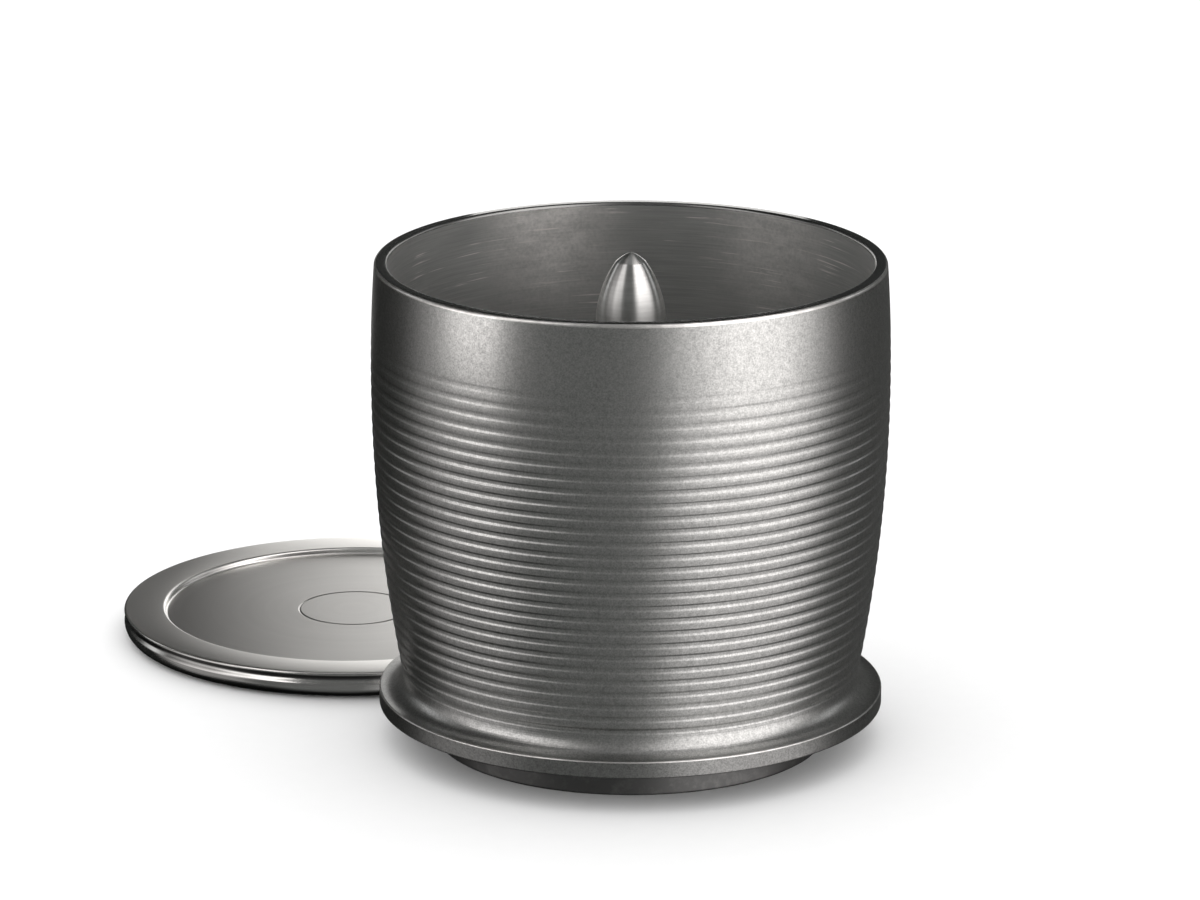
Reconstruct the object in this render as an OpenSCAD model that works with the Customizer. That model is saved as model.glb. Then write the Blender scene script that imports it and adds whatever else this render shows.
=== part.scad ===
// Espresso dosing shaker with a ribbed cup, a lift-out valve plug and a loose round lid.
// The cup stands on its spigot: z = 0 is the standing face, the Z axis is the cup's axis.

/* [Cup body] */
// Height of the cup from the standing face to the rim
cup_h = 72.5; // [68:0.5:80]
// Outer radius of the barrel at its widest place
belly_r = 38.05; // [37.75:0.05:38.3]
// Height of the widest place above the standing face
belly_z = 55.25; // [52:0.25:58]
// Radius of the barrel's upright curve
belly_curve_r = 238; // [220:2:300]
// Inner radius of the mouth
mouth_r = 35.5; // [34.5:0.1:35.7]
// Thickness of the wall below the widest place
wall_t = 2.1; // [1.8:0.1:2.5]
// Rounding of the rim's outer edge
rim_round = 0.6; // [0.3:0.1:0.7]
// Rounding of the mouth's inner edge
mouth_round = 0.5; // [0.2:0.1:0.6]
// Least outer radius of the base flange, which grows if the hollow curve needs more
flange_r = 37.25; // [37:0.25:39]
// Thickness of the base flange
flange_t = 2.5; // [2:0.25:3]
// Radius of the hollow curve between barrel and flange
fillet_r = 2.7; // [2.5:0.1:3.2]

/* [Ribs] */
// Number of turned grooves round the barrel
groove_count = 27; // [10:1:28]
// Distance from one groove to the next
groove_pitch = 1.93; // [1.8:0.01:2]
// Depth of a full groove
groove_depth = 0.18; // [0.1:0.02:0.3]
// Width of a groove at the surface
groove_w = 1.3; // [0.6:0.1:1.4]
// Number of grooves at the top over which the depth fades out
groove_fade = 8; // [1:1:10]

/* [Spigot] */
// Outer radius of the spigot that drops into a filter basket
spigot_r = 29; // [28.75:0.05:29.25]
// Height of the spigot below the flange
spigot_h = 5.4; // [5:0.1:7]
// Radius of the outlet through the spigot
outlet_r = 24.6; // [24:0.1:25]
// Width of the sloping valve seat, seen from above
seat_w = 1.7; // [1.5:0.1:1.8]

/* [Plunger] */
// Height of the tip above the rim
tip_stand = 1.05; // [0.5:0.05:3]
// Greatest radius of the pointed head
head_r = 5.2; // [4.5:0.05:5.5]
// Radius of the stem where it meets the plug
neck_r = 6; // [5.6:0.1:7]
// Radius of the plug's hollow flare
flare_r = 30.1; // [29:0.1:31]
// Thickness of the silicone ring on the plug
plug_seal_d = 1.6; // [1.4:0.1:1.7]

/* [Lid] */
// Outer radius of the lid
lid_r = 36; // [35.9:0.1:36.3]
// Height of the lid
lid_h = 4.5; // [4.3:0.1:4.8]
// Radius of the sunken centre, which also nests the spigot
recess_r = 29.5; // [29.4:0.1:31]
// Depth of the sunken centre
recess_depth = 1; // [0.6:0.1:1.1]
// Rounding under the lid's edge
lid_round = 2.2; // [1.5:0.1:2.8]

/* [Layout] */
// Place of the lid's centre to the left of the cup's axis
lid_left = 43; // [43:0.5:70]
// Place of the lid's centre behind the cup's axis
lid_behind = 50.7; // [50.7:0.1:70]

/* [Hidden] */
$fn = 96;

// Small cut that keeps faces from coinciding in a subtraction
eps = 0.01;
// Bevel on turned outer edges
edge_bevel = 0.25;
// Running gap between pieces that are fitted together
fit_gap = 0.05;

flange_top = spigot_h + flange_t;
fillet_top = flange_top + fillet_r;
first_groove_up = 0.05;
curve_steps = 12;
arc_steps = 8;

// Spigot ring: the hub that sits inside the cup's base, and its seal groove
hub_r = spigot_r - 0.6;
hub_h = 3.8;
hub_top = spigot_h + hub_h;
seat_r = outlet_r + seat_w;
seat_z = 4.4;
seal_groove_z = spigot_h + 1;
seal_groove_h = 1.4;
seal_groove_depth = 0.9;
base_seal_d = 0.8;

// Plug: its silicone ring stands just clear of the sloping seat
seal_gap = 0.15;
seal_rise = (plug_seal_d / 2 + seal_gap) / sqrt(2);
seal_r = outlet_r + seat_w / 2 - seal_rise;
seal_z = seat_z + seat_w / 2 + seal_rise;
chamfer_gap = 0.5 * sqrt(2);
plug_edge_r = seat_r - 0.5;
plug_edge_z = plug_edge_r - outlet_r + seat_z + chamfer_gap;
plug_foot_r = outlet_r - 0.6;
plug_bottom = 1.5;
flare_angle = acos(1 - (plug_edge_r - neck_r) / flare_r);
flare_low_z = plug_edge_z + 0.9;
neck_z = flare_low_z + flare_r * sin(flare_angle);
plug_hollow_r = 20;
plug_hollow_top = 4.5;

// Fastening of the plug to the stem
screw_r = 2.5;
screw_bore_r = 2.7;
screw_head_r = 4.25;
screw_head_h = 5;
screw_bite = 9;
washer_r = 5;
washer_t = 1;
counterbore_r = 5.3;
counterbore_top = 12;
hex_key_across = 4;
hex_key_depth = 2.5;

// Pointed head of the stem
tip_z = cup_h + tip_stand;
nose_r = 2.2;
nose_h = 1.33;
ogive_h = 11;
ogive_drop = ogive_h - nose_h;
ogive_curve_r = (pow(head_r - nose_r, 2) + pow(ogive_drop, 2)) / (2 * (head_r - nose_r));

// Lid: finger groove round its side, hollow underside, silicone foot ring and bumper pad
lid_web = 1.2;
lid_hollow_r = 30.5;
lid_lift = 0.2;
lid_edge_round = 0.4;
lid_edge_land = 0.1;
grip_depth = 0.4;
grip_down = 1.1;
foot_in_r = 31.4;
foot_out_r = 33;
foot_t = 0.9;
pad_r = 6;
pad_t = 0.6;
pad_pocket = 0.5;

// Outer radius of the plain barrel at a height
function barrel_r(z) =
    belly_r - belly_curve_r + sqrt(pow(belly_curve_r, 2) - pow(z - belly_z, 2));

// Inner radius of the cup at a height: straight near the mouth, then following the barrel
function inner_r(z) = z > belly_z ? mouth_r : min(mouth_r, barrel_r(z) - wall_t);

// Points on an arc of a circle in the outline plane, between two angles
function arc(cx, cy, r, from, to, steps = arc_steps) =
    [for (i = [0 : steps]) let (a = from + (to - from) * i / steps)
        [cx + r * cos(a), cy + r * sin(a)]];

// Depth of one groove, counted from the bottom
function depth_at(i) = groove_depth * min(1, (groove_count - i) / groove_fade);

// Height of the middle of one groove
function groove_z(i) = fillet_top + first_groove_up + groove_w / 2 + groove_pitch * i;

// Four outline points of one groove
function groove_at(i) =
    let (z = groove_z(i), d = depth_at(i))
    [[barrel_r(z - groove_w / 2), z - groove_w / 2],
     [barrel_r(z) - d, z - groove_w / 8],
     [barrel_r(z) - d, z + groove_w / 8],
     [barrel_r(z + groove_w / 2), z + groove_w / 2]];

// One cup of turned metal: barrel, rim, funnel and base flange
module cup_body() {
    foot_r = barrel_r(fillet_top);
    round_z = cup_h - rim_round;
    rim_r = barrel_r(round_z) - rim_round;
    plain_z = groove_z(groove_count - 1) + groove_w;
    funnel_top = 16;
    bore_r = hub_r + fit_gap;
    edge_r = max(flange_r, foot_r + fillet_r + edge_bevel);
    flange_edge = [
        [bore_r, spigot_h],
        [edge_r - edge_bevel, spigot_h],
        [edge_r, spigot_h + edge_bevel],
        [edge_r, flange_top - edge_bevel],
        [edge_r - edge_bevel, flange_top]
    ];
    fillet = arc(foot_r + fillet_r, fillet_top, fillet_r, 270, 180);
    ribs = [for (i = [0 : groove_count - 1], p = groove_at(i)) p];
    plain_band = [for (i = [0 : curve_steps - 1])
        let (z = plain_z + (round_z - plain_z) * i / curve_steps)
        [barrel_r(z), z]];
    rim = concat(
        arc(rim_r, round_z, rim_round, 0, 90, 6),
        arc(mouth_r + mouth_round, cup_h - mouth_round, mouth_round, 90, 180, 6));
    inner_wall = [for (i = [0 : 2 * curve_steps])
        let (z = belly_z + (funnel_top - belly_z) * i / (2 * curve_steps))
        [inner_r(z), z]];
    seat_ledge = [[seat_r, hub_top + fit_gap], [bore_r, hub_top + fit_gap]];
    color("darkgray")
        rotate_extrude()
            polygon(concat(flange_edge, fillet, ribs, plain_band, rim, inner_wall, seat_ledge));
}

// Dark ring under the flange: the spigot, the outlet and the sloping valve seat
module spigot_ring() {
    groove_floor = hub_r - seal_groove_depth;
    groove_top = seal_groove_z + seal_groove_h;
    bevel = 0.4;
    color([0.16, 0.16, 0.17])
        rotate_extrude()
            polygon([
                [outlet_r + bevel, 0],
                [spigot_r - bevel, 0],
                [spigot_r, bevel],
                [spigot_r, spigot_h],
                [hub_r, spigot_h],
                [hub_r, seal_groove_z],
                [groove_floor, seal_groove_z],
                [groove_floor, groove_top],
                [hub_r, groove_top],
                [hub_r, hub_top],
                [seat_r, hub_top],
                [seat_r, seat_z + seat_w],
                [outlet_r, seat_z],
                [outlet_r, bevel]
            ]);
}

// A ring of round section
module o_ring(r, d, z) {
    translate([0, 0, z])
        rotate_extrude()
            translate([r, 0])
                circle(d = d, $fn = 32);
}

// Seal between the spigot ring and the cup
module base_seal() {
    color("dimgray")
        o_ring(hub_r - base_seal_d / 2, base_seal_d, seal_groove_z + seal_groove_h / 2);
}

// Polished stem with the pointed head that the user lifts
module bullet_stem() {
    head_z = tip_z - ogive_h;
    ogive = [for (i = [0 : arc_steps])
        let (up = ogive_drop * i / arc_steps)
        [head_r - ogive_curve_r + sqrt(pow(ogive_curve_r, 2) - pow(up, 2)), head_z + up]];
    nose = [[0.8, tip_z - 0.3], [0, tip_z]];
    color("silver")
        difference() {
            rotate_extrude()
                polygon(concat([[0, neck_z], [neck_r, neck_z]], ogive, nose));
            translate([0, 0, neck_z - eps])
                cylinder(r = screw_r + fit_gap, h = screw_bite + 1 + eps);
        }
}

// Flared plug that closes the outlet
module valve_plug() {
    flare = arc(neck_r + flare_r, neck_z, flare_r, 180 + flare_angle, 180, 2 * arc_steps);
    color("gainsboro")
        difference() {
            rotate_extrude()
                polygon(concat(
                    [[0, plug_bottom],
                     [plug_foot_r - edge_bevel, plug_bottom],
                     [plug_foot_r, plug_bottom + edge_bevel],
                     [plug_foot_r, plug_foot_r - outlet_r + seat_z + chamfer_gap],
                     [plug_edge_r, plug_edge_z]],
                    flare,
                    [[0, neck_z]]));
            o_ring(seal_r, plug_seal_d + 2 * fit_gap, seal_z);
            translate([0, 0, plug_bottom - eps])
                cylinder(r = plug_hollow_r, h = plug_hollow_top - plug_bottom + eps);
            cylinder(r = counterbore_r, h = counterbore_top);
            cylinder(r = screw_bore_r, h = neck_z + eps);
        }
}

// Silicone ring that seals the plug on its seat
module plug_seal() {
    color("dimgray")
        o_ring(seal_r, plug_seal_d, seal_z);
}

// Socket screw that holds the plug to the stem
module plug_screw() {
    head_top = counterbore_top - washer_t;
    head_bottom = head_top - screw_head_h;
    color("slategray")
        difference() {
            union() {
                translate([0, 0, head_bottom])
                    cylinder(r = screw_head_r, h = screw_head_h);
                translate([0, 0, head_top - eps])
                    cylinder(r = screw_r, h = neck_z + screw_bite - head_top + eps);
            }
            translate([0, 0, head_bottom - eps])
                cylinder(d = hex_key_across / cos(30), h = hex_key_depth + eps, $fn = 6);
        }
}

// Washer under the screw's head
module screw_washer() {
    color("lightgray")
        translate([0, 0, counterbore_top - washer_t])
            difference() {
                cylinder(r = washer_r, h = washer_t);
                translate([0, 0, -eps])
                    cylinder(r = screw_bore_r, h = washer_t + 2 * eps);
            }
}

// Puts a lid piece where the lid lies beside the cup
module at_lid() {
    translate([-lid_left, lid_behind, 0])
        children();
}

// Turned lid with a raised border and a sunken centre
module lid_plate() {
    recess_floor = lid_h - recess_depth;
    web_low = recess_floor - lid_web;
    recess_round = 0.5;
    side = concat(
        arc(lid_r - lid_round, lid_lift + lid_round, lid_round, 270, 360),
        [[lid_r - grip_depth, lid_h - grip_down],
         [lid_r, lid_h - lid_edge_round - lid_edge_land]],
        arc(lid_r - lid_edge_round, lid_h - lid_edge_round, lid_edge_round, 0, 90, 4));
    recess = concat(
        [[recess_r + recess_round, lid_h]],
        arc(recess_r + recess_round, lid_h - recess_round, recess_round, 90, 180, 5),
        [[recess_r, recess_floor + 0.3], [recess_r - 0.3, recess_floor]]);
    color("lightsteelblue")
        at_lid()
            rotate_extrude()
                polygon(concat(
                    [[foot_out_r, lid_lift]],
                    side,
                    recess,
                    [[0, recess_floor],
                     [0, web_low + pad_pocket],
                     [pad_r, web_low + pad_pocket],
                     [pad_r, web_low],
                     [lid_hollow_r, web_low],
                     [lid_hollow_r, lid_lift],
                     [foot_in_r, lid_lift],
                     [foot_in_r, foot_t],
                     [foot_out_r, foot_t]]));
}

// Silicone ring under the lid's border
module lid_foot_ring() {
    color("dimgray")
        at_lid()
            rotate_extrude()
                translate([foot_in_r, 0])
                    square([foot_out_r - foot_in_r, foot_t]);
}

// Silicone pad under the lid's centre that rests on the stem's tip when the cup is shut
module lid_tip_pad() {
    web_low = lid_h - recess_depth - lid_web;
    color("dimgray")
        at_lid()
            translate([0, 0, web_low + pad_pocket - pad_t])
                cylinder(r = pad_r, h = pad_t);
}

cup_body();
spigot_ring();
base_seal();
bullet_stem();
valve_plug();
plug_seal();
plug_screw();
screw_washer();
lid_plate();
lid_foot_ring();
lid_tip_pad();
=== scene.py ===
"""Looks of the dosing shaker: turned metal pieces, their finishes, the studio and the camera."""

import math

import bmesh
import bpy
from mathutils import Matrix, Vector


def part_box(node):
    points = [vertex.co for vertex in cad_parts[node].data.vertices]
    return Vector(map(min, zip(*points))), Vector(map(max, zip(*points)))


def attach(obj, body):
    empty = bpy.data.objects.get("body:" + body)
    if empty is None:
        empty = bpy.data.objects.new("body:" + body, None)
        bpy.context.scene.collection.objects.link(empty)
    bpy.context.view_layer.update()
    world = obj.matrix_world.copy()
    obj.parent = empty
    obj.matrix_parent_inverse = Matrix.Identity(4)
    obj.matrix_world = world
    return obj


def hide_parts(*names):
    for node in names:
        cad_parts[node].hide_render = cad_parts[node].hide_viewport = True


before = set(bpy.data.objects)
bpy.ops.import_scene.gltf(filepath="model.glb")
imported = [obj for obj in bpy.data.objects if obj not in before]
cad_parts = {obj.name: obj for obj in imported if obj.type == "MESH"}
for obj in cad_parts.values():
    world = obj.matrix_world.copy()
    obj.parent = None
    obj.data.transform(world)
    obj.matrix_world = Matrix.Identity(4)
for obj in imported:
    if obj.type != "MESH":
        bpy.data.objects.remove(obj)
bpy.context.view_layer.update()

MM = 0.001
CUP_SEGMENTS = 288
RING_SEGMENTS = 200
STEM_SEGMENTS = 160

# ---------------------------------------------------------------- sizes in millimetres


def box_mm(node):
    """Lower and upper corner of a CAD node's box in millimetres."""
    low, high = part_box(node)
    return low / MM, high / MM


cup_low, cup_high = box_mm("cup_body")
stem_low, stem_high = box_mm("bullet_stem")
plug_low, plug_high = box_mm("valve_plug")
lid_low, lid_high = box_mm("lid_plate")
ring_high = box_mm("spigot_ring")[1]
foot_high = box_mm("lid_foot_ring")[1]

# Bevel on turned outer edges, and the gap between pieces that are fitted together
EDGE_BEVEL = 0.25
FIT_GAP = 0.05

# Cup: the barrel's outer curve is an arc of radius BELLY_CURVE, widest at BELLY_Z
CUP_TOP = cup_high.z
SPIGOT_H = cup_low.z
BELLY_R = cup_high.x
BELLY_Z = 55.25
BELLY_CURVE = 238.0
WALL = 2.1
FUNNEL_TOP = 16.0
MOUTH_R = 35.5
MOUTH_ROUND = 0.5
RIM_ROUND = 0.6
FLANGE_R = 37.25
FLANGE_TOP = SPIGOT_H + 2.5
FILLET_R = 2.7
FILLET_TOP = FLANGE_TOP + FILLET_R

# Grooves round the barrel, counted from the bottom; the top ones fade out
GROOVES = 27
GROOVE_PITCH = 1.93
GROOVE_W = 1.3
GROOVE_DEPTH = 0.18
GROOVE_FADE = 8
FIRST_GROOVE = FILLET_TOP + 0.05 + GROOVE_W / 2
LAND_CROWN = 0.025

# Spigot ring with the outlet and its sloping valve seat
SPIGOT_R = ring_high.x
HUB_R = SPIGOT_R - 0.6
HUB_TOP = ring_high.z
OUTLET_R = 24.6
SEAT_W = 1.7
SEAT_R = OUTLET_R + SEAT_W
SEAT_Z = 4.4

# Silicone ring on the plug: the radius of its section, and its distance from the seat
SEAL_R = 0.8
SEAL_GAP = 0.15

# Lid, with the finger groove round its side and the groove for its foot ring
LID_X = (lid_low.x + lid_high.x) / 2
LID_Y = (lid_low.y + lid_high.y) / 2
LID_R = (lid_high.x - lid_low.x) / 2
LID_TOP = lid_high.z
LID_LIFT = lid_low.z
LID_ROUND = 2.2
RECESS_R = 29.5
RECESS_FLOOR = LID_TOP - 1.0
WEB_LOW = RECESS_FLOOR - 1.2
GRIP_DEPTH = 0.4
GRIP_Z = LID_TOP - 1.1
GRIP_TOP = LID_TOP - 0.5
FOOT_IN_R = 31.4
FOOT_OUT_R = 33.0
FOOT_TOP = foot_high.z

# ---------------------------------------------------------------- outlines


def arc(cx, cz, r, start, end, steps):
    """Points on an arc in the outline plane, between two angles in degrees."""
    turn = [math.radians(start + (end - start) * i / steps) for i in range(steps + 1)]
    return [(cx + r * math.cos(a), cz + r * math.sin(a)) for a in turn]


def smooth(t):
    """Smooth step from 0 to 1."""
    t = min(max(t, 0.0), 1.0)
    return t * t * (3 - 2 * t)


def barrel_r(z):
    """Outer radius of the plain barrel at a height."""
    return BELLY_R - BELLY_CURVE + math.sqrt(BELLY_CURVE**2 - (z - BELLY_Z) ** 2)


def inner_r(z):
    """Inner radius of the cup at a height."""
    return MOUTH_R if z > BELLY_Z else min(MOUTH_R, barrel_r(z) - WALL)


def groove_share(i):
    """How much of the full depth a groove has."""
    return min(1, (GROOVES - i) / GROOVE_FADE)


def groove_points(i):
    """One turned groove: a rounded floor between two sloping walls."""
    middle = FIRST_GROOVE + GROOVE_PITCH * i
    depth = GROOVE_DEPTH * groove_share(i)
    shoulder = LAND_CROWN * groove_share(i)
    wall = 0.75
    half = [0.2, 0.36, 0.52, 0.7, 0.86, 1]
    points = []
    for t in [-t for t in reversed(half)] + [0] + half:
        z = middle + t * GROOVE_W / 2
        cut = max(shoulder, depth * smooth((1 - abs(t)) / wall))
        points.append((barrel_r(z) - cut, z))
    return points


def land_points(low, high, i):
    """The slightly crowned land between two grooves; the crown fades with the grooves."""
    crown = LAND_CROWN * groove_share(i)
    steps = 6
    points = []
    for step in range(1, steps):
        t = step / steps
        z = low + (high - low) * t
        points.append((barrel_r(z) - crown * (2 * t - 1) ** 2, z))
    return points


def held(start, end):
    """The start of a straight stretch and, if it is long, a point close to each of its ends, so that
    smooth shading stays flat on it."""
    margin = 0.04
    a, b = Vector(start), Vector(end)
    points = [tuple(a)]
    length = (b - a).length
    if length > 6 * margin:
        points.append(tuple(a.lerp(b, margin / length)))
        points.append(tuple(b.lerp(a, margin / length)))
    return points


def joined(sections, closed):
    """The sections as one outline without double points. Gives the finishes, the outline's points, and
    for each point the number of its finish."""
    same_place = 1e-4
    finishes = []
    points = []
    owners = []
    for finish, stretch in sections:
        if finish not in finishes:
            finishes.append(finish)
        for p in stretch:
            if points and (Vector(p) - Vector(points[-1])).length < same_place:
                continue
            points.append(p)
            owners.append(finishes.index(finish))
    outline = []
    outline_owners = []
    count = len(points)
    for i in range(count if closed else count - 1):
        j = (i + 1) % count
        part = held(points[i], points[j])
        outline += part
        outline_owners += [owners[j]] * len(part)
    if not closed:
        outline.append(points[-1])
        outline_owners.append(owners[-1])
    return finishes, outline, outline_owners


# ---------------------------------------------------------------- turned pieces


def in_scene(name, data):
    """A new object in the scene."""
    thing = bpy.data.objects.new(name, data)
    bpy.context.scene.collection.objects.link(thing)
    return thing


def ring_of(bm, r, z, centre, segments):
    """The points of one ring round the axis, or the one point where the outline meets the axis."""
    if r < 1e-6:
        return [bm.verts.new((centre[0] * MM, centre[1] * MM, z * MM))]
    ring = []
    for s in range(segments):
        a = 2 * math.pi * s / segments
        x = centre[0] + r * math.cos(a)
        y = centre[1] + r * math.sin(a)
        ring.append(bm.verts.new((x * MM, y * MM, z * MM)))
    return ring


def lathe(name, sections, centre=(0.0, 0.0), closed=True, segments=CUP_SEGMENTS):
    """A turned piece. sections is a list of (material, outline points); the outline is a loop,
    or runs from the axis to the axis when closed is False."""
    finishes, outline, owners = joined(sections, closed)
    bm = bmesh.new()
    rings = [ring_of(bm, r, z, centre, segments) for r, z in outline]
    for i in range(len(rings) if closed else len(rings) - 1):
        low, high = rings[i], rings[(i + 1) % len(rings)]
        for s in range(segments):
            t = (s + 1) % segments
            if len(low) == 1:
                corners = (low[0], high[t], high[s])
            elif len(high) == 1:
                corners = (low[s], low[t], high[0])
            else:
                corners = (low[s], low[t], high[t], high[s])
            face = bm.faces.new(corners)
            face.smooth = True
            face.material_index = owners[i]
    bmesh.ops.recalc_face_normals(bm, faces=bm.faces)
    mesh = bpy.data.meshes.new(name)
    bm.to_mesh(mesh)
    bm.free()
    for finish in finishes:
        mesh.materials.append(finish)
    return in_scene(name, mesh)


def stand_for(piece, node, body):
    """Puts a piece in place of a CAD node, on its body."""
    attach(piece, body)
    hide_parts(node)


# ---------------------------------------------------------------- node helpers


class Nodes:
    """Short calls for adding and linking the nodes of one tree."""

    def __init__(self, tree):
        self.tree = tree

    def add(self, kind):
        return self.tree.nodes.new(kind)

    def link(self, source, target):
        self.tree.links.new(source, target)

    def feed(self, sockets, values):
        """Sets each socket to its value if that is a number, and links it if not."""
        for socket, value in zip(sockets, values):
            if isinstance(value, (int, float)):
                socket.default_value = value
            else:
                self.link(value, socket)

    def math(self, operation, a, b=0.0):
        node = self.add("ShaderNodeMath")
        node.operation = operation
        self.feed(node.inputs, (a, b))
        return node.outputs[0]


class Finish(Nodes):
    """A node material with one principled shader, and short calls for the usual textures."""

    def __init__(self, name, metallic):
        self.material = bpy.data.materials.new(name)
        self.material.use_nodes = True
        super().__init__(self.material.node_tree)
        self.shader = self.tree.nodes["Principled BSDF"]
        self.put("Metallic", metallic)
        self.place = self.add("ShaderNodeTexCoord").outputs["Object"]

    def put(self, socket, value):
        """Sets a socket of the shader to one value for the whole surface."""
        self.shader.inputs[socket].default_value = value

    def to(self, socket, value):
        """Lets a texture drive a socket of the shader."""
        self.link(value, self.shader.inputs[socket])

    def noise(self, size_mm, detail=2.0, rough=0.5, vector=None):
        """Noise whose features are about size_mm across, from 0 to 1."""
        node = self.add("ShaderNodeTexNoise")
        node.inputs["Scale"].default_value = 1 / (size_mm * MM)
        node.inputs["Detail"].default_value = detail
        node.inputs["Roughness"].default_value = rough
        self.link(vector if vector else self.place, node.inputs["Vector"])
        return node.outputs["Fac"]

    def polar(self, centre=(0.0, 0.0)):
        """(radius, height, angle) round an upright axis, in metres and radians."""
        moved = self.add("ShaderNodeMapping")
        moved.inputs["Location"].default_value = (-centre[0] * MM, -centre[1] * MM, 0)
        self.link(self.place, moved.inputs["Vector"])
        split = self.add("ShaderNodeSeparateXYZ")
        self.link(moved.outputs[0], split.inputs[0])
        x, y, z = split.outputs
        radius = self.math("SQRT", self.math("ADD", self.math("POWER", x, 2), self.math("POWER", y, 2)))
        return radius, z, self.math("ARCTAN2", y, x)

    def vector(self, x, y, z):
        node = self.add("ShaderNodeCombineXYZ")
        self.feed(node.inputs, (x, y, z))
        return node.outputs[0]

    def round_lines(self, size_mm, detail, rough, angle, z, packing, offset=0.0):
        """Noise drawn out into lines that run round the axis; the smaller packing is, the longer they
        are. Different offsets give different lines."""
        along = self.math("MULTIPLY", angle, packing)
        return self.noise(size_mm, detail, rough, self.vector(along, offset, z))

    def span(self, value, low, high, to_low, to_high, soft=False):
        """Maps a range of a value to another range and cuts off what lies outside it."""
        node = self.add("ShaderNodeMapRange")
        node.interpolation_type = "SMOOTHSTEP" if soft else "LINEAR"
        ends = [node.inputs[name] for name in ("From Min", "From Max", "To Min", "To Max")]
        self.feed(ends, (low, high, to_low, to_high))
        self.link(value, node.inputs["Value"])
        return node.outputs[0]

    def spread(self, noise, to_low, to_high):
        """Maps the range that most of a noise lies in to another range."""
        return self.span(noise, 0.3, 0.7, to_low, to_high)

    def mix(self, factor, a, b):
        """Mixes two colours, each a tuple or the output of another node."""
        node = self.add("ShaderNodeMix")
        node.data_type = "RGBA"
        self.link(factor, node.inputs["Factor"])
        for socket, value in zip((node.inputs[6], node.inputs[7]), (a, b)):
            if isinstance(value, tuple):
                socket.default_value = (*value, 1)
            else:
                self.link(value, socket)
        return node.outputs[2]

    def bump(self, height, strength, distance_mm):
        node = self.add("ShaderNodeBump")
        node.inputs["Strength"].default_value = strength
        node.inputs["Distance"].default_value = distance_mm * MM
        self.link(height, node.inputs["Height"])
        return node.outputs[0]

    def turned(self, amount):
        """Draws the highlights out along the piece's axis, as fine turning lines round it do."""
        self.put("Anisotropic", amount)
        self.put("Anisotropic Rotation", 0.25)
        tangent = self.add("ShaderNodeTangent")
        tangent.direction_type = "RADIAL"
        tangent.axis = "Z"
        self.link(tangent.outputs[0], self.shader.inputs["Tangent"])


# ---------------------------------------------------------------- finishes


def blasted_metal(name, low, high):
    """Bead-blasted anodised aluminium between two grey tones: fine speckle and soft patches."""
    f = Finish(name, 1.0)
    grain = f.noise(0.24, 2.0, 0.6)
    coarse = f.noise(0.7, 3.0, 0.6)
    patch = f.noise(7.0, 3.0, 0.5)
    speck = f.math("ADD", f.math("MULTIPLY", grain, 0.65), f.math("MULTIPLY", coarse, 0.35))
    speck = f.span(speck, 0.36, 0.64, 0, 1)
    tone = f.math("ADD", f.math("MULTIPLY", speck, 0.75), f.math("MULTIPLY", patch, 0.25))
    f.to("Base Color", f.mix(tone, (low, low * 1.01, low * 0.99), (high, high, high * 0.985)))
    f.to("Roughness", f.span(tone, 0.2, 0.8, 0.34, 0.285))
    f.to("Normal", f.bump(grain, 0.3, 0.025))
    return f.material


def rubbed_patch(f, angle, middle, strength):
    """A soft patch round an angle in degrees, strongest at its middle."""
    away = f.math("ABSOLUTE", f.math("SUBTRACT", angle, math.radians(middle)))
    return f.span(away, 0.05, 0.42, strength, 0, True)


def turned_inside():
    """Inside of the cup: fine turning lines, light scratches that run round, and two rubbed patches."""
    f = Finish("cup_inside", 0.8)
    _, z, angle = f.polar()
    lines = f.round_lines(0.25, 3.0, 0.6, angle, z, 0.0008)
    thin = f.round_lines(0.4, 2.0, 0.5, angle, z, 0.0011, 0.004)
    wiped = f.round_lines(1.6, 4.0, 0.65, angle, z, 0.012, 0.002)
    patch = f.noise(9.0, 3.0, 0.55)
    grain = f.noise(0.5, 2.0, 0.6)
    high_up = f.span(z, 50 * MM, 68 * MM, 0, 1, True)
    rubbed = f.math("ADD", rubbed_patch(f, angle, 110, 1.0), rubbed_patch(f, angle, 52, 0.85))
    texture = f.math("ADD", f.math("MULTIPLY", wiped, 0.6), f.math("MULTIPLY", grain, 0.4))
    rubbed = f.math("MULTIPLY", f.math("MULTIPLY", rubbed, high_up), f.span(texture, 0.38, 0.62, 0.3, 1))
    scratch = f.span(thin, 0.61, 0.68, 0, 1, True)
    marks = f.math("MULTIPLY", scratch, f.span(patch, 0.42, 0.58, 0.05, 0.75, True))
    fine = f.mix(f.span(lines, 0.35, 0.65, 0, 1), (0.33, 0.334, 0.326), (0.42, 0.42, 0.41))
    cloudy = f.mix(rubbed, fine, (0.7, 0.68, 0.66))
    f.to("Base Color", f.mix(marks, cloudy, (0.85, 0.8, 0.77)))
    f.to("Roughness", f.spread(patch, 0.36, 0.48))
    f.to("Normal", f.bump(lines, 0.3, 0.015))
    return f.material


def rim_face():
    """Rim: smooth turned face, darker than the barrel."""
    f = Finish("cup_rim", 1.0)
    wear = f.noise(9.0, 2.0, 0.5)
    f.to("Base Color", f.mix(f.spread(wear, 0, 1), (0.2, 0.202, 0.199), (0.27, 0.27, 0.265)))
    f.to("Roughness", f.spread(wear, 0.24, 0.26))
    return f.material


def edge_wear_and_painted_highlight():
    """Outer edges of rim and flange: rubbed bright by handling, and brighter still as a painted
    highlight along the edge, a little uneven.
    """
    f = Finish("cup_edge_wear_and_painted_highlight", 1.0)
    wear = f.noise(2.0, 4.0, 0.6)
    # Light base colour on these edges: partly wear, partly a painted highlight
    f.to("Base Color", f.mix(f.span(wear, 0.35, 0.65, 0, 1), (0.62, 0.61, 0.6), (0.88, 0.87, 0.85)))
    f.to("Roughness", f.spread(wear, 0.36, 0.28))
    return f.material


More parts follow.
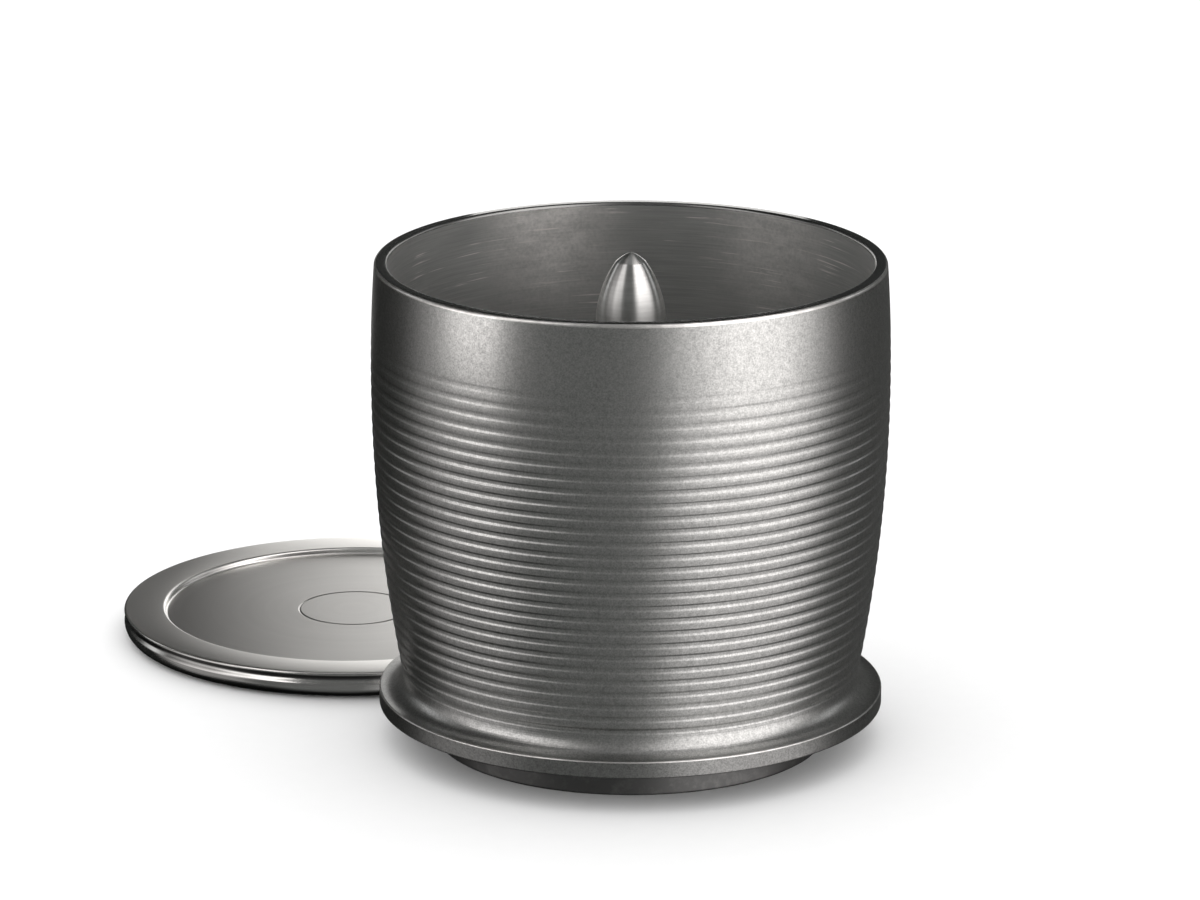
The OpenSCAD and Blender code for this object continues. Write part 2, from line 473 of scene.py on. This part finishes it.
def lid_satin(name, tone):
    """Top of the lid: satin turned face with very faint wide rings and a soft haze."""
    f = Finish(name, 1.0)
    radius, _, _ = f.polar((LID_X, LID_Y))
    rings = f.noise(1.6, 2.0, 0.5, f.vector(radius, 0.0, 0.0))
    haze = f.noise(14.0, 2.0, 0.5)
    low, high = tone - 0.015, tone + 0.015
    dark_ring = (low, low * 0.99, low * 0.965)
    light_ring = (high, high * 0.99, high * 0.965)
    f.to("Base Color", f.mix(f.spread(rings, 0, 1), dark_ring, light_ring))
    f.to("Roughness", f.spread(haze, 0.28, 0.31))
    return f.material


def lid_edge():
    """Side of the lid: polished, with painted shade in the finger groove and painted shade low down by
    its foot.
    """
    f = Finish("lid_edge", 1.0)
    _, z, angle = f.polar((LID_X, LID_Y))
    fine = f.round_lines(0.3, 3.0, 0.6, angle, z, 0.0006)
    wear = f.noise(2.5, 4.0, 0.6)
    # Height masks for painted shade: low down by the foot and in the finger groove
    above_foot = f.span(z, (LID_LIFT + 0.7) * MM, (LID_LIFT + 1.7) * MM, 0, 1, True)
    below_grip = f.span(z, (GRIP_Z - 0.4) * MM, GRIP_Z * MM, 1, 0, True)
    above_grip = f.span(z, (GRIP_TOP - 0.1) * MM, (GRIP_TOP + 0.05) * MM, 0, 1, True)
    light = f.math("MULTIPLY", above_foot, f.math("ADD", below_grip, above_grip))
    unshaded_polish = f.mix(f.spread(fine, 0, 1), (0.5, 0.495, 0.485), (0.6, 0.595, 0.585))
    # Painted shade: near black outside the mask, the polished tone inside it
    f.to("Base Color", f.mix(light, (0.09, 0.09, 0.088), unshaded_polish))
    f.to("Roughness", f.spread(wear, 0.14, 0.24))
    f.to("Normal", f.bump(fine, 0.08, 0.006))
    return f.material


def polished_steel():
    """Stem: finely turned and polished steel, its highlights drawn out along it."""
    f = Finish("stem_polished", 1.0)
    _, z, angle = f.polar()
    lines = f.round_lines(0.5, 2.0, 0.5, angle, z, 0.0005)
    haze = f.noise(3.0, 2.0, 0.5)
    f.to("Base Color", f.mix(f.spread(lines, 0, 1), (0.56, 0.56, 0.55), (0.7, 0.7, 0.69)))
    f.to("Roughness", f.spread(haze, 0.28, 0.3))
    f.turned(0.92)
    return f.material


def turned_steel():
    """Plug: fine turned steel with faint rings."""
    f = Finish("plug_turned", 1.0)
    radius, z, _ = f.polar()
    rings = f.noise(0.7, 2.0, 0.5, f.vector(radius, 0.0, z))
    haze = f.noise(6.0, 2.0, 0.5)
    f.to("Base Color", f.mix(f.spread(rings, 0, 1), (0.44, 0.44, 0.43), (0.54, 0.54, 0.53)))
    f.to("Roughness", f.spread(haze, 0.28, 0.34))
    f.to("Normal", f.bump(rings, 0.15, 0.01))
    f.turned(0.4)
    return f.material


def dark_anodised():
    """Spigot ring: black anodised metal with lighter wear."""
    f = Finish("ring_dark", 1.0)
    grain = f.noise(0.14, 2.0)
    wear = f.noise(2.0, 5.0, 0.65)
    f.to("Base Color", f.mix(f.span(wear, 0.5, 0.75, 0, 1), (0.12, 0.12, 0.119), (0.18, 0.179, 0.176)))
    f.to("Roughness", f.spread(grain, 0.34, 0.46))
    f.to("Normal", f.bump(grain, 0.25, 0.012))
    return f.material


def silicone():
    """Seals and pads: matte dark silicone with a little dust."""
    f = Finish("silicone", 0.0)
    dust = f.noise(0.8, 5.0, 0.7)
    f.to("Base Color", f.mix(f.span(dust, 0.5, 0.8, 0, 1), (0.03, 0.03, 0.031), (0.09, 0.088, 0.085)))
    f.to("Roughness", f.spread(dust, 0.55, 0.75))
    f.to("Normal", f.bump(f.noise(0.3, 3.0), 0.2, 0.02))
    return f.material


def screw_steel():
    """Screw and washer: plain turned steel."""
    f = Finish("screw_steel", 1.0)
    wear = f.noise(0.9, 5.0, 0.65)
    f.to("Base Color", f.mix(f.spread(wear, 0, 1), (0.33, 0.33, 0.335), (0.5, 0.5, 0.5)))
    f.to("Roughness", f.spread(wear, 0.28, 0.4))
    f.to("Normal", f.bump(f.noise(0.2, 2.0), 0.15, 0.01))
    return f.material


blasted = blasted_metal("cup_blasted", 0.28, 0.56)
# The flange's underside and side take a darker copy of the barrel's finish: painted shade
flange = blasted_metal("flange_blasted_painted_shade", 0.19, 0.42)
inside = turned_inside()
rim = rim_face()
edge_wear_with_highlight = edge_wear_and_painted_highlight()
satin = lid_satin("lid_satin", 0.5)
# The border takes a much lighter copy of the centre's satin: painted highlight
border_satin_painted_highlight = lid_satin("lid_border", 0.9)
edge = lid_edge()
polished = polished_steel()
turned = turned_steel()
dark = dark_anodised()
rubber = silicone()
screw = screw_steel()

# ---------------------------------------------------------------- pieces


def cup_piece():
    """The cup: ribbed barrel, rounded rim, funnel and flange in one turned piece."""
    foot_r = barrel_r(FILLET_TOP)
    bore_r = HUB_R + FIT_GAP
    ledge_z = HUB_TOP + FIT_GAP
    round_z = CUP_TOP - RIM_ROUND
    rim_r = barrel_r(round_z) - RIM_ROUND
    edge_r = FLANGE_R - EDGE_BEVEL
    edge_z = FLANGE_TOP - EDGE_BEVEL
    foot = [(bore_r, SPIGOT_H)]
    foot += arc(edge_r, SPIGOT_H + EDGE_BEVEL, EDGE_BEVEL, 270, 360, 4)
    foot += arc(edge_r, edge_z, EDGE_BEVEL, 0, 20, 2)
    foot_edge = arc(edge_r, edge_z, EDGE_BEVEL, 20, 75, 4)
    barrel = arc(edge_r, edge_z, EDGE_BEVEL, 75, 90, 2)
    barrel += arc(foot_r + FILLET_R, FILLET_TOP, FILLET_R, 270, 180, 14)
    for i in range(GROOVES):
        barrel += groove_points(i)
        if i < GROOVES - 1:
            barrel += land_points(barrel[-1][1], groove_points(i + 1)[0][1], i)
    last_z = barrel[-1][1]
    steps = 14
    for i in range(1, steps + 1):
        z = last_z + (round_z - last_z) * i / steps
        barrel.append((barrel_r(z), z))
    lip_edge = arc(rim_r, round_z, RIM_ROUND, 0, 60, 6)
    lip = arc(rim_r, round_z, RIM_ROUND, 60, 90, 3)
    lip += arc(MOUTH_R + MOUTH_ROUND, CUP_TOP - MOUTH_ROUND, MOUTH_ROUND, 90, 180, 7)
    wall = []
    steps = 30
    for i in range(steps + 1):
        z = BELLY_Z + (FUNNEL_TOP - BELLY_Z) * i / steps
        wall.append((inner_r(z), z))
    wall += [(SEAT_R, ledge_z), (bore_r, ledge_z)]
    sections = [
        # Flange underside and side: darker copy of the barrel's finish, painted shade
        (flange, foot),
        # Edges of flange and rim: wear and a painted highlight
        (edge_wear_with_highlight, foot_edge),
        (blasted, barrel),
        (edge_wear_with_highlight, lip_edge),
        (rim, lip),
        (inside, wall),
    ]
    return lathe("cup_turned", sections)


def spigot_piece():
    """Dark ring with the spigot, the outlet, the valve seat and the groove for its seal."""
    bevel = 0.4
    groove_r = HUB_R - 0.9
    groove_low = SPIGOT_H + 1
    groove_high = groove_low + 1.4
    outline = arc(OUTLET_R + bevel, bevel, bevel, 180, 270, 4)
    outline += arc(SPIGOT_R - bevel, bevel, bevel, 270, 360, 4)
    outline += [
        (SPIGOT_R, SPIGOT_H),
        (HUB_R, SPIGOT_H),
        (HUB_R, groove_low),
        (groove_r, groove_low),
        (groove_r, groove_high),
        (HUB_R, groove_high),
        (HUB_R, HUB_TOP),
        (SEAT_R, HUB_TOP),
        (SEAT_R, SEAT_Z + SEAT_W),
        (OUTLET_R, SEAT_Z),
    ]
    return lathe("spigot_ring_turned", [(dark, outline)])


def stem_piece():
    """Polished stem with its pointed head: a rounded cone on an arc, over the bore for the screw."""
    tip_z = stem_high.z
    neck_z = stem_low.z
    neck_r = stem_high.x
    head_r = 5.2
    head_h = 11.0
    nose_r = 2.2
    nose_h = 1.33
    nose_power = 1.5
    bore_r = 2.55
    bore_top = neck_z + 10
    rise = head_h - nose_h
    curve = ((head_r - nose_r) ** 2 + rise**2) / (2 * (head_r - nose_r))
    outline = [(0, bore_top), (bore_r, bore_top), (bore_r, neck_z), (neck_r, neck_z)]
    steps = 22
    for i in range(steps + 1):
        up = rise * i / steps
        outline.append((head_r - curve + math.sqrt(curve**2 - up**2), tip_z - head_h + up))
    steps = 12
    for i in range(1, steps + 1):
        r = nose_r * (1 - i / steps)
        outline.append((r, tip_z - nose_h * (r / nose_r) ** nose_power))
    return lathe("bullet_stem_turned", [(polished, outline)], closed=False, segments=STEM_SEGMENTS)


def plug_pieces():
    """Flared valve plug with a groove for its silicone ring, and that ring."""
    neck_z = plug_high.z
    neck_r = 6.0
    flare_r = 30.1
    bottom = plug_low.z
    hollow_r = 20.0
    hollow_top = 4.5
    counterbore_r = 5.3
    counterbore_top = 12.0
    bore_r = 2.7
    clear_of_seat = 0.5 * math.sqrt(2)
    edge_r = plug_high.x
    edge_z = edge_r - OUTLET_R + SEAT_Z + clear_of_seat
    foot_r = OUTLET_R - 0.6
    foot_z = foot_r - OUTLET_R + SEAT_Z + clear_of_seat
    seal_rise = (SEAL_R + SEAL_GAP) / math.sqrt(2)
    seal_r = OUTLET_R + SEAT_W / 2 - seal_rise
    seal_z = SEAT_Z + SEAT_W / 2 + seal_rise
    turn = math.degrees(math.acos(1 - (edge_r - neck_r) / flare_r))
    under = [
        (bore_r, counterbore_top),
        (counterbore_r, counterbore_top),
        (counterbore_r, hollow_top),
        (hollow_r, hollow_top),
        (hollow_r, bottom),
    ]
    under += arc(foot_r - EDGE_BEVEL, bottom + EDGE_BEVEL, EDGE_BEVEL, 270, 360, 4)
    under.append((foot_r, foot_z))
    groove = arc(seal_r, seal_z, SEAL_R + FIT_GAP, -103, -347, 14)
    flare = [(edge_r, edge_z)]
    flare += arc(neck_r + flare_r, neck_z, flare_r, 180 + turn, 180, 40)
    flare.append((bore_r, neck_z))
    plug = lathe("valve_plug_turned", [(turned, under + groove + flare)])
    section = arc(seal_r, seal_z, SEAL_R, 0, 345, 23)
    ring = lathe("plug_seal_ring", [(rubber, section)], segments=RING_SEGMENTS)
    return plug, ring


def lid_side(edge_round, crown):
    """Outline of the lid's side, from its rounded lower edge over the finger groove to the top edge."""
    side = arc(LID_R - LID_ROUND, LID_LIFT + LID_ROUND, LID_ROUND, 270, 360, 12)
    low = side[-1][1]
    steps = 9
    for i in range(1, steps):
        t = i / steps
        side.append((LID_R - GRIP_DEPTH * smooth(t), low + (GRIP_Z - low) * t))
    steps = 8
    for i in range(steps + 1):
        t = i / steps
        side.append((LID_R - GRIP_DEPTH * smooth(1 - t), GRIP_Z + (GRIP_TOP - GRIP_Z) * t))
    return side + arc(LID_R - edge_round, LID_TOP - crown - edge_round, edge_round, 0, 40, 3)


def lid_border(edge_round, crown):
    """Outline of the lid's raised border, a little crowned, and of the step down to the centre."""
    step_round = 0.5
    floor_round = 0.3
    outer_r = LID_R - edge_round
    step_r = RECESS_R + step_round
    border = arc(outer_r, LID_TOP - crown - edge_round, edge_round, 40, 90, 4)
    steps = 12
    for i in range(1, steps):
        t = i / steps
        border.append((outer_r + (step_r - outer_r) * t, LID_TOP - crown * (2 * t - 1) ** 2))
    border += arc(step_r, LID_TOP - crown - step_round, step_round, 90, 170, 7)
    return border + arc(RECESS_R - floor_round, RECESS_FLOOR + floor_round, floor_round, 0, -90, 5)


def lid_piece():
    """Lid: hollow underside, side with a finger groove, raised border, centre with one engraved ring."""
    edge_round = 0.4
    crown = 0.08
    mark_r = 8.6
    mark_half = 0.2
    mark_floor = RECESS_FLOOR - 0.12
    centre = [
        (mark_r + mark_half, RECESS_FLOOR),
        (mark_r + mark_half / 3, mark_floor),
        (mark_r - mark_half / 3, mark_floor),
        (mark_r - mark_half, RECESS_FLOOR),
        (0, RECESS_FLOOR),
    ]
    hollow_r = 30.5
    pad_r = 6.0
    pad_top = WEB_LOW + 0.5
    under = [
        (0, pad_top),
        (pad_r, pad_top),
        (pad_r, WEB_LOW),
        (hollow_r, WEB_LOW),
        (hollow_r, LID_LIFT),
        (FOOT_IN_R, LID_LIFT),
        (FOOT_IN_R, FOOT_TOP),
        (FOOT_OUT_R, FOOT_TOP),
        (FOOT_OUT_R, LID_LIFT),
    ]
    sections = [
        (edge, under + lid_side(edge_round, crown)),
        # Raised border: lighter copy of the satin, painted highlight
        (border_satin_painted_highlight, lid_border(edge_round, crown)),
        (satin, centre),
    ]
    return lathe("lid_turned", sections, centre=(LID_X, LID_Y), closed=False)


def foot_ring_piece():
    """Silicone ring under the lid's border, with rounded lower corners."""
    r = 0.18
    outline = arc(FOOT_OUT_R - r, r, r, 270, 360, 4)
    outline += [(FOOT_OUT_R, FOOT_TOP), (FOOT_IN_R, FOOT_TOP)]
    outline += arc(FOOT_IN_R + r, r, r, 180, 270, 4)
    sections = [(rubber, outline)]
    return lathe("lid_foot_ring_soft", sections, centre=(LID_X, LID_Y), segments=RING_SEGMENTS)


def dress(node, finish):
    """Gives a CAD node that stays as it is its finish."""
    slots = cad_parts[node].data.materials
    for i in range(len(slots)):
        slots[i] = finish
    if not slots:
        slots.append(finish)


stand_for(cup_piece(), "cup_body", "shaker")
stand_for(spigot_piece(), "spigot_ring", "shaker")
stand_for(stem_piece(), "bullet_stem", "plunger")
plug, plug_ring = plug_pieces()
stand_for(plug, "valve_plug", "plunger")
stand_for(plug_ring, "plug_seal", "plunger")
stand_for(lid_piece(), "lid_plate", "lid")
stand_for(foot_ring_piece(), "lid_foot_ring", "lid")

dress("base_seal", rubber)
dress("lid_tip_pad", rubber)
dress("plug_screw", screw)
dress("screw_washer", screw)

# ---------------------------------------------------------------- studio

WARM_BOX = (1.0, 0.97, 0.96)
COOL_BOX = (0.985, 1.0, 0.98)
PLAIN_BOX = (1.0, 1.0, 1.0)
BACK_CARD = (1.0, 0.985, 0.965)
SIDE_CARD = (1.0, 0.97, 0.955)


def pale_floor():
    """Plain pale floor that takes soft shadows."""
    bpy.ops.mesh.primitive_plane_add(size=4.0, location=(0, 0, 0))
    floor = bpy.context.object
    floor.name = "floor"
    f = Finish("floor_paper", 0.0)
    fibre = f.noise(3.0, 4.0)
    f.to("Base Color", f.mix(fibre, (0.89, 0.89, 0.89), (0.91, 0.91, 0.91)))
    f.put("Roughness", 0.9)
    floor.data.materials.append(f.material)
    floor.visible_glossy = False


class Sky(Nodes):
    """World of soft boxes, placed by azimuth (0 in front, 90 to the right) and elevation in degrees."""

    def __init__(self):
        self.world = bpy.data.worlds.new("studio")
        bpy.context.scene.world = self.world
        self.world.use_nodes = True
        super().__init__(self.world.node_tree)
        self.tree.nodes.clear()
        way = self.add("ShaderNodeTexCoord").outputs["Generated"]
        split = self.add("ShaderNodeSeparateXYZ")
        self.link(way, split.inputs[0])
        self.elevation = self.math("ARCSINE", split.outputs[2])
        level = self.vector_math("MULTIPLY", way, (1, 1, 0))
        self.level = self.vector_math("NORMALIZE", level)
        self.total = None

    def vector_math(self, operation, a, b=None):
        node = self.add("ShaderNodeVectorMath")
        node.operation = operation
        self.link(a, node.inputs[0])
        if isinstance(b, tuple):
            node.inputs[1].default_value = b
        elif b is not None:
            self.link(b, node.inputs[1])
        return node.outputs["Value" if operation == "DOT_PRODUCT" else "Vector"]

    def ramp(self, value, zero, one):
        """Soft ramp from 0 to 1 between two angles in degrees."""
        node = self.add("ShaderNodeMapRange")
        node.interpolation_type = "SMOOTHSTEP"
        node.inputs["From Min"].default_value = math.radians(zero)
        node.inputs["From Max"].default_value = math.radians(one)
        self.link(value, node.inputs["Value"])
        return node.outputs[0]

    def box(self, azimuth, elevation, soft, strength, colour):
        """One soft box, in degrees: azimuth holds its middle, its half width and the width of its soft
        edges, elevation its lower and upper end, and soft the height of the soft edges beyond these."""
        middle, half, edge_width = azimuth
        low, high = elevation
        soft_low, soft_high = soft
        a = math.radians(middle)
        towards = (math.sin(a), -math.cos(a), 0)
        away = self.math("ARCCOSINE", self.vector_math("DOT_PRODUCT", self.level, towards))
        across = self.ramp(self.math("MULTIPLY", away, -1), -half - edge_width, -half)
        bottom = self.ramp(self.elevation, low - soft_low, low)
        top = self.ramp(self.math("MULTIPLY", self.elevation, -1), -high - soft_high, -high)
        shape = self.math("MULTIPLY", self.math("MULTIPLY", across, bottom), top)
        node = self.add("ShaderNodeVectorMath")
        node.operation = "SCALE"
        node.inputs[0].default_value = [strength * c for c in colour]
        self.link(shape, node.inputs["Scale"])
        light = node.outputs[0]
        self.total = light if self.total is None else self.vector_math("ADD", self.total, light)

    def finish(self, base, white):
        """Adds the dim surroundings. Reflections see the soft boxes; the floor and the view see plain
        white of the given strength."""
        boxes = self.add("ShaderNodeBackground")
        self.link(self.vector_math("ADD", self.total, base), boxes.inputs["Color"])
        plain = self.add("ShaderNodeBackground")
        plain.inputs["Color"].default_value = (1, 1, 1, 1)
        plain.inputs["Strength"].default_value = white
        path = self.add("ShaderNodeLightPath")
        mix = self.add("ShaderNodeMixShader")
        self.link(path.outputs["Is Glossy Ray"], mix.inputs[0])
        self.link(plain.outputs[0], mix.inputs[1])
        self.link(boxes.outputs[0], mix.inputs[2])
        out = self.add("ShaderNodeOutputWorld")
        self.link(mix.outputs[0], out.inputs[0])
        self.world.cycles.sampling_method = "NONE"


def card_glow(name, colour):
    """Black material that only glows, in one colour."""
    glow = Finish(name + "_glow", 0.0)
    glow.put("Base Color", (0, 0, 0, 1))
    glow.put("Roughness", 1.0)
    glow.put("Emission Color", (*colour, 1))
    glow.material.cycles.emission_sampling = "NONE"
    return glow


def glow_card(name, left, right, low, high, glow):
    """An upright light card that only reflections see, between two places (x, y) and two heights."""
    mesh = bpy.data.meshes.new(name)
    bm = bmesh.new()
    corners = ((*left, low), (*right, low), (*right, high), (*left, high))
    bm.faces.new([bm.verts.new(Vector(c) * MM) for c in corners])
    bm.to_mesh(mesh)
    bm.free()
    mesh.materials.append(glow.material)
    card = in_scene(name, mesh)
    card.visible_camera = False
    card.visible_diffuse = False
    card.visible_shadow = False


def lid_card():
    """Card behind the lid: it brightens the lid towards the right, and more from low down."""
    glow = card_glow("lid_card", BACK_CARD)
    split = glow.add("ShaderNodeSeparateXYZ")
    glow.link(glow.place, split.inputs[0])
    x, _, z = split.outputs
    across = glow.span(x, -80 * MM, -18 * MM, 0.1, 1.85)
    low_down = glow.span(z, 14 * MM, 32 * MM, 2.2, 1.0, True)
    glow.to("Emission Strength", glow.math("MULTIPLY", across, low_down))
    behind = 200
    glow_card("lid_card", (-110, behind), (-2, behind), 4, 84, glow)


def rim_card():
    """Small card close behind the back of the rim and just above it: it lights that part of the rim."""
    glow = card_glow("rim_card", BACK_CARD)
    glow.put("Emission Strength", 1.8)
    behind = 46
    glow_card("rim_card", (-24, behind), (27, behind), 73.5, 80, glow)


def side_card(name, azimuth, distance, half, low, high, strength):
    """Card beside the cup at rim height, facing the axis: it lights the top of the barrel."""
    glow = card_glow(name, SIDE_CARD)
    glow.put("Emission Strength", strength)
    a = math.radians(azimuth)
    middle = Vector((math.sin(a), -math.cos(a))) * distance
    along = Vector((math.cos(a), math.sin(a))) * half
    glow_card(name, middle - along, middle + along, low, high, glow)


def studio():
    """Floor, light cards and soft boxes: two broad lights left and right of the view, dim elsewhere."""
    pale_floor()
    lid_card()
    rim_card()
    side_card("left_card", -64, 134, 29, 43, 82, 2.3)
    side_card("right_card", 49, 136, 40, 26, 80, 2.25)
    sky = Sky()
    # Left light: for the upper barrel, for the ribs lower down, and for the stem's head and the rim
    sky.box((-74, 10, 20), (-2, 24), (9, 12), 0.7, WARM_BOX)
    sky.box((-82, 16, 20), (-37, 10), (14, 18), 0.36, WARM_BOX)
    sky.box((-54, 9, 15), (24, 56), (12, 12), 1.3, WARM_BOX)
    # Right light, brighter from above than from below
    sky.box((55, 19, 26), (0, 60), (16, 12), 1.3, WARM_BOX)
    sky.box((56, 21, 28), (-48, 60), (22, 12), 0.92, WARM_BOX)
    # Faint fill in front and on the far right
    sky.box((-10, 25, 40), (-85, 50), (30, 20), 0.16, COOL_BOX)
    sky.box((130, 25, 30), (-60, 60), (20, 20), 0.045, COOL_BOX)
    # Narrow lights behind both sides, for thin lines along the edges
    sky.box((116, 4, 6), (10, 28), (8, 10), 0.8, PLAIN_BOX)
    sky.box((-118, 4, 6), (10, 28), (8, 10), 0.9, PLAIN_BOX)
    # Faint fill behind, and a light overhead
    sky.box((180, 60, 40), (8, 40), (10, 20), 0.035, COOL_BOX)
    sky.box((0, 180, 1), (82, 90), (16, 1), 0.42, PLAIN_BOX)
    sky.finish((0.014, 0.015, 0.014), 1.35)


def camera():
    """Camera at the photograph's viewing angle: in front of the cup, looking down a little."""
    place = Vector((-4.5, -851.36, 285.35))
    looking_down = 15.85
    data = bpy.data.cameras.new("camera")
    data.lens = 180.72
    data.sensor_width = 36.0
    data.clip_end = 10.0
    cam = in_scene("camera", data)
    cam.location = place * MM
    cam.rotation_euler = (math.radians(90 - looking_down), 0, 0)
    bpy.context.scene.camera = cam


studio()
camera()
bpy.context.scene.view_settings.view_transform = "Standard"
